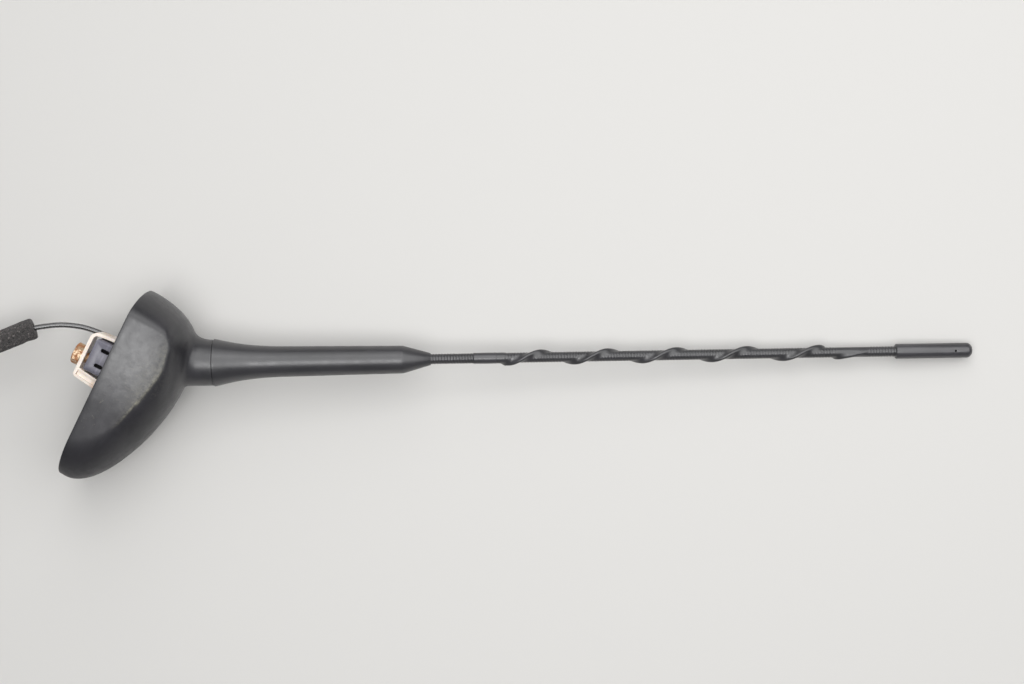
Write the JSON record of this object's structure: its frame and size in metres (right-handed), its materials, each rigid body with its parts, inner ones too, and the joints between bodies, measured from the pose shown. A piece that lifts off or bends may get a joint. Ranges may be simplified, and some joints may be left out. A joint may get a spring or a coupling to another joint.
{
  "type": "car roof antenna",
  "caption": "Car roof antenna: domed leaning base, screw-in whip with a spiral rib and rounded tip cap, clip-and-bolt roof fixing and a short coaxial lead with foam sleeve and plug.",
  "frame": {"origin": "where the mast's axis meets the top of the car's roof, in the middle of the roof hole, on the gasket's underside", "axes": "+Z is the roof's normal, up and out of the car; +X points to the front of the car, the base's nose; the mast leans back to -X in the XZ plane"},
  "size_m": [0.2697, 0.0608, 0.5793],
  "materials": {
    "housing": "satin, moulded black plastic, worn",
    "neck_bush": "machined",
    "contact_spring": "rolled strip",
    "circuit_board": "green lacquer",
    "screening_can": "tinned",
    "board_parts": "moulded",
    "base_plate": "moulded dark blue-grey plastic",
    "sealing_gasket": "closed-cell, matt",
    "plate_screws": "zinc plated",
    "captive_nut": "zinc plated",
    "cable_gland": "matt",
    "board_lead": "satin sheath",
    "cable_lead": "satin sheath",
    "foam_sleeve": "open foam, matt",
    "plug_boot": "matt",
    "plug_shell": "nickel plated",
    "plug_insulator": "natural nylon",
    "plug_pin": "nickel plated",
    "foot_seal": "matt",
    "mast_stud": "rolled thread",
    "mast_sleeve": "satin, moulded black plastic",
    "whip_rod": "glass fibre",
    "whip_winding": "enamelled wire",
    "spiral_cord": "extruded",
    "whip_jacket": "shrunk tube, satin",
    "joint_sleeve": "satin",
    "tip_cap": "satin, moulded",
    "retainer_clip": "aged natural nylon",
    "fixing_bolt": "yellow zinc, rusted",
    "bolt_washer": "yellow zinc, rusted"
  },
  "bodies": {
    "base": {"housing": "housing", "neck_bush": "neck_bush", "contact_spring": "contact_spring", "circuit_board": "circuit_board", "screening_can": "screening_can", "board_parts": "board_parts", "base_plate": "base_plate", "sealing_gasket": "sealing_gasket", "plate_screws": "plate_screws", "captive_nut": "captive_nut", "cable_gland": "cable_gland", "board_lead": "board_lead", "cable_lead": "cable_lead", "foam_sleeve": "foam_sleeve", "plug_boot": "plug_boot", "plug_shell": "plug_shell", "plug_insulator": "plug_insulator", "plug_pin": "plug_pin"},
    "seal": {"foot_seal": "foot_seal"},
    "mast": {"mast_stud": "mast_stud", "mast_sleeve": "mast_sleeve", "whip_rod": "whip_rod", "whip_winding": "whip_winding", "spiral_cord": "spiral_cord", "whip_jacket": "whip_jacket", "joint_sleeve": "joint_sleeve", "tip_cap": "tip_cap"},
    "clip": {"retainer_clip": "retainer_clip", "bolt_washer": "bolt_washer"},
    "bolt": {"fixing_bolt": "fixing_bolt"}
  },
  "joints": [
    {"name": "mast_rise", "type": "slide", "parent": "base", "child": "seal", "axis": [-0.4571, 0, 0.8894], "range_m": [0, 0.008]},
    {"name": "mast_turn", "type": "hinge", "parent": "seal", "child": "mast", "pos_m": [-0.02409, 0, 0.04687], "axis": [-0.4571, 0, 0.8894], "range_deg": [0, 3600]},
    {"name": "clip_rise", "type": "slide", "parent": "base", "child": "clip", "axis": [0, 0, 1], "range_m": [0, 0.0022]},
    {"name": "bolt_turn", "type": "hinge", "parent": "clip", "child": "bolt", "pos_m": [0.003, 0, -0.019], "axis": [0, 0, 1], "range_deg": [0, 792]}
  ],
  "couplings": [
    {"joint": "mast_turn", "follows": "mast_rise", "rad_per_m": 7853.9},
    {"joint": "bolt_turn", "follows": "clip_rise", "rad_per_m": 6283.1}
  ]
}
